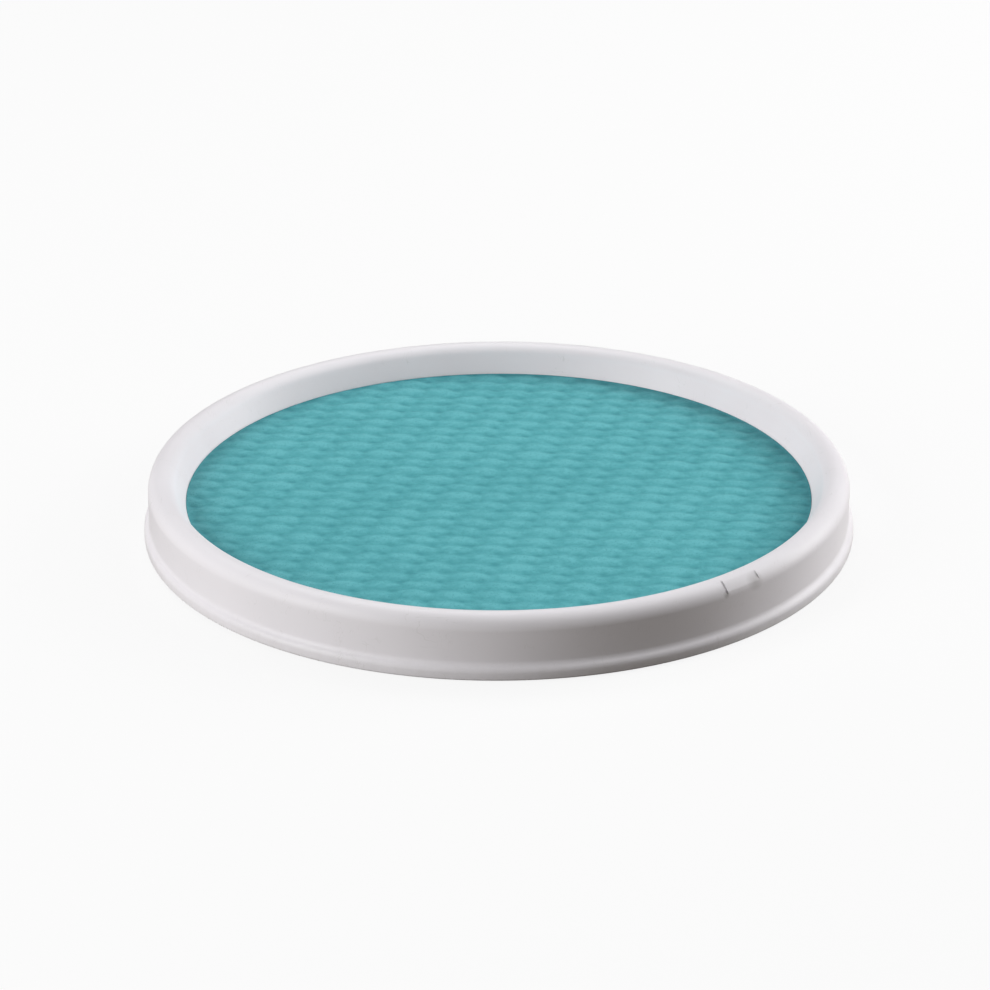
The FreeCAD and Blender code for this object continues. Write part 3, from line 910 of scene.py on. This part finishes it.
# Painted shade of the rim wall on the edge of the disc, strongest at the back right.
RIM_SHADOW_TONE = (0.52, 0.64, 0.66)
RIM_SHADOW_POWER = 18
RIM_SHADOW_SHIFT = (1.5 * MM, 1.0 * MM, 0)
CREPE_STRETCH = (480, 640, 300)
CREPE_SWING = 0.22
BLOTCH_SCALE = 30
BLOTCH_SWING = 0.09
FIBRE_SCALE = 900
FIBRE_SWING = 0.15
PORE_SCALE = 1400.0
PORE_LIMITS = (0.10, 0.32)
PORE_DEPTH = 0.5
SPONGE_SMOOTH, SPONGE_ROUGH = 0.60, 0.80
SKIN_STRENGTH = 0.35
SKIN_HEIGHT = 0.3 * MM
SPONGE_SPECULAR = 0.2

cellulose, tree, shader = new_material("sponge_cellulose")
place = object_place(tree)
raised = add(tree, "ShaderNodeAttribute", attribute_name="emboss").outputs["Fac"]
blotches = noise(tree, place, BLOTCH_SCALE, detail=3)
blotch = span(tree, blotches, *NOISE_MIDDLE, -BLOTCH_SWING, BLOTCH_SWING)
fibres = noise(tree, place, FIBRE_SCALE, detail=4, roughness=0.65)
fibre = span(tree, fibres, 0.25, 0.75, -FIBRE_SWING, FIBRE_SWING)
stretch = add(tree, "ShaderNodeMapping")
stretch.inputs["Scale"].default_value = CREPE_STRETCH
feed(tree, stretch.inputs["Vector"], place)
folds = noise(tree, stretch.outputs[0], 1.0, detail=3)
crepe = span(tree, folds, *NOISE_MIDDLE, -CREPE_SWING, CREPE_SWING)
level = maths(tree, "ADD", maths(tree, "ADD", raised, blotch), maths(tree, "ADD", fibre, crepe))
# Painted light and shade: the colour follows the pressed height, paler on the pillows and darker in the
# grooves.
low_tone = blend(tree, span(tree, level, 0.0, 0.5), TEAL_SHADED, TEAL_MAIN)
tone = blend(tree, span(tree, level, 0.5, 1.0), low_tone, TEAL_LIT)
pores = set_inputs(tree, add(tree, "ShaderNodeTexVoronoi"), Vector=place, Scale=PORE_SCALE)
pit = span(tree, pores.outputs["Distance"], *PORE_LIMITS)
# Painted shadow of the rim wall: the colour darkens towards the edge, measured from a point a little to the
# front left so that the back right edge is darkest.
outwards = maths(tree, "DIVIDE", from_axis(tree, RIM_SHADOW_SHIFT), SPONGE_R)
rim_shadow = maths(tree, "POWER", outwards, RIM_SHADOW_POWER)
# Painted shade in the pores: each pit takes the shaded teal.
tone = blend(tree, pit, TEAL_SHADED, tone)
feed(tree, shader.inputs["Base Color"], blend(tree, rim_shadow, tone, RIM_SHADOW_TONE, way="MULTIPLY"))
dull = span(tree, fibre, -FIBRE_SWING, FIBRE_SWING, SPONGE_SMOOTH, SPONGE_ROUGH)
feed(tree, shader.inputs["Roughness"], dull)
skin = maths(tree, "ADD", maths(tree, "MULTIPLY", pit, PORE_DEPTH), maths(tree, "ADD", fibre, crepe))
bump(tree, shader, skin, SKIN_STRENGTH, SKIN_HEIGHT)
shader.inputs["Specular IOR Level"].default_value = SPONGE_SPECULAR
paint(sponge, cellulose)
print("painted:", sponge.name)

# %% [markdown]
# ### Rubber and silicone
# The feet are a matt grey rubber and the seal is a softer, paler silicone. Both have a fine speckle, and
# the feet gather dust as the hem does.

# %% Rubber and silicone
SPECK_SCALE = 1500
DULL_SCALE = 240
DULL_SWING = 0.1
FOOT_DUST_REACH = 2.0 * MM
SPECK_STRENGTH = 0.2
SPECK_HEIGHT = 0.05 * MM


def soft_rubber(name, light, dark, rough, dust):
    material, tree, shader = new_material(name)
    place = object_place(tree)
    speck = span(tree, noise(tree, place, SPECK_SCALE, detail=3), 0.35, 0.65)
    dusty = place_group(tree, dust_group, Reach=FOOT_DUST_REACH, Amount=dust)["Mask"]
    speckled = blend(tree, speck, dark, light)
    feed(tree, shader.inputs["Base Color"], blend(tree, dusty, speckled, DUST_TONE))
    uneven = noise(tree, place, DULL_SCALE)
    dull = span(tree, uneven, *NOISE_MIDDLE, rough - DULL_SWING, rough + DULL_SWING)
    feed(tree, shader.inputs["Roughness"], dull)
    bump(tree, shader, speck, SPECK_STRENGTH, SPECK_HEIGHT)
    return material


foot_rubber = soft_rubber(
    "foot_rubber", light=(0.085, 0.09, 0.095), dark=(0.06, 0.063, 0.067), rough=0.75, dust=0.5)
for foot in feet:
    paint(foot, foot_rubber)
seal_silicone = soft_rubber(
    "seal_silicone", light=(0.52, 0.56, 0.58), dark=(0.46, 0.50, 0.52), rough=0.5, dust=0.0)
paint(seal, seal_silicone)
print("painted:", seal.name, "and", len(feet), "feet")

# %% [markdown]
# ## Floor, light and camera
# The palette stands on a pale floor in soft studio light: a broad box on the left, one on the right, a
# low one beside it and a small one high up behind. The floor shows white to the camera and in
# reflections, and still takes a soft shadow.

# %% Floor
FLOOR_SIZE = 24.0
FLOOR_TONE = (0.190, 0.168, 0.142)
SEEN_TONE = (0.085, 0.085, 0.085)
FLOOR_GLOW = 0.885
GLOSSY_SHARE = 0.3

deselect_all()
bpy.ops.mesh.primitive_plane_add(size=FLOOR_SIZE, location=(0, 0, 0))
floor = bpy.context.object
floor.name = "floor"
floor_paint = bpy.data.materials.new("floor_paint")
floor_paint.use_nodes = True
tree = floor_paint.node_tree
tree.nodes.clear()
ray = add(tree, "ShaderNodeLightPath").outputs
seen = maths(tree, "MAXIMUM", ray["Is Camera Ray"], ray["Is Transmission Ray"])
seen = maths(tree, "MAXIMUM", seen, maths(tree, "MULTIPLY", ray["Is Glossy Ray"], GLOSSY_SHARE))
matt = set_inputs(
    tree, add(tree, "ShaderNodeBsdfDiffuse"), Color=blend(tree, ray["Is Camera Ray"], FLOOR_TONE, SEEN_TONE))
glow = set_inputs(tree, add(tree, "ShaderNodeEmission"), Strength=maths(tree, "MULTIPLY", seen, FLOOR_GLOW))
both = add(tree, "ShaderNodeAddShader")
feed(tree, both.inputs[0], matt.outputs[0])
feed(tree, both.inputs[1], glow.outputs[0])
set_inputs(tree, add(tree, "ShaderNodeOutputMaterial"), Surface=both.outputs[0])
paint(floor, floor_paint)
print(f"{floor.name}: {FLOOR_SIZE:.0f} m across")

# %% [markdown]
# Four area lights stand round the palette as softboxes would in a studio. Between the reach of the left
# box and that of the two on the right, the front of the skirt falls into shade, and this shade is what
# makes the upright wall read as round. The world gives hardly any light and only shows white behind the
# floor.

# %% Lights
WORLD_LIGHT = 0.006
WORLD_TONE = (1.0, 0.92, 0.84)
SEEN_WORLD_TONE = (1.0, 1.0, 1.0)
BOX_DISTANCE = 1.3
SOFTBOXES = (  # name, azimuth and elevation in degrees, width and height in metres, power in watts
    ("left_box", -60, 23, 0.7, 0.9, 15.0),
    ("right_box", 118, 38, 0.7, 0.9, 7.7),
    ("right_low_box", 107, 16, 0.75, 0.7, 11.8),
    ("back_box", -158, 55, 0.7, 0.5, 5.2),
)

scene = bpy.context.scene
scene.world = bpy.data.worlds.new("studio")
scene.world.use_nodes = True
tree = scene.world.node_tree
ray = add(tree, "ShaderNodeLightPath").outputs
seen = maths(tree, "MAXIMUM", ray["Is Camera Ray"], ray["Is Transmission Ray"])
set_inputs(
    tree, tree.nodes["Background"],
    Color=blend(tree, seen, WORLD_TONE, SEEN_WORLD_TONE),
    Strength=maths(tree, "MAXIMUM", seen, WORLD_LIGHT),
)


def softbox(name, azimuth, elevation, width, height, power):
    """An area light that looks at the palette. Azimuth 0 is towards the camera, and 90 is to the right."""
    turn, rise = math.radians(azimuth), math.radians(elevation)
    out = Vector((math.sin(turn) * math.cos(rise), -math.cos(turn) * math.cos(rise), math.sin(rise)))
    lamp = bpy.data.lights.new(name, "AREA")
    lamp.shape = "RECTANGLE"
    lamp.size, lamp.size_y = width, height
    lamp.energy = power
    light = bpy.data.objects.new(name, lamp)
    light.location = out * BOX_DISTANCE
    light.rotation_euler = out.to_track_quat("Z", "Y").to_euler()
    scene.collection.objects.link(light)


for box in SOFTBOXES:
    softbox(*box)
print("lights:", ", ".join(box[0] for box in SOFTBOXES))

# %% [markdown]
# The camera looks down from the front through a long lens, so that the far side of the rim is hardly
# smaller than the near side. Colours are shown as they are, with the Standard view transform.

# %% Camera
CAMERA_RISE = math.radians(23.96)
CAMERA_ROLL = math.radians(-0.22)
CAMERA_DISTANCE = 1.0
CAMERA_LENS = 128.66
CAMERA_SENSOR = 36
AIM = Vector((-1.06, 0.4, 8.48)) * MM

toward = Vector((0, -math.cos(CAMERA_RISE), math.sin(CAMERA_RISE)))
camera_data = bpy.data.cameras.new("camera")
camera_data.lens = CAMERA_LENS
camera_data.sensor_width = CAMERA_SENSOR
camera = bpy.data.objects.new("camera", camera_data)
camera.location = AIM + toward * CAMERA_DISTANCE
facing = toward.to_track_quat("Z", "Y").to_matrix() @ Matrix.Rotation(CAMERA_ROLL, 3, "Z")
camera.rotation_euler = facing.to_euler()
scene.collection.objects.link(camera)
scene.camera = camera
scene.view_settings.view_transform = "Standard"
print(f"camera: {math.degrees(CAMERA_RISE):.1f} degrees up, {CAMERA_LENS:.0f} mm lens")
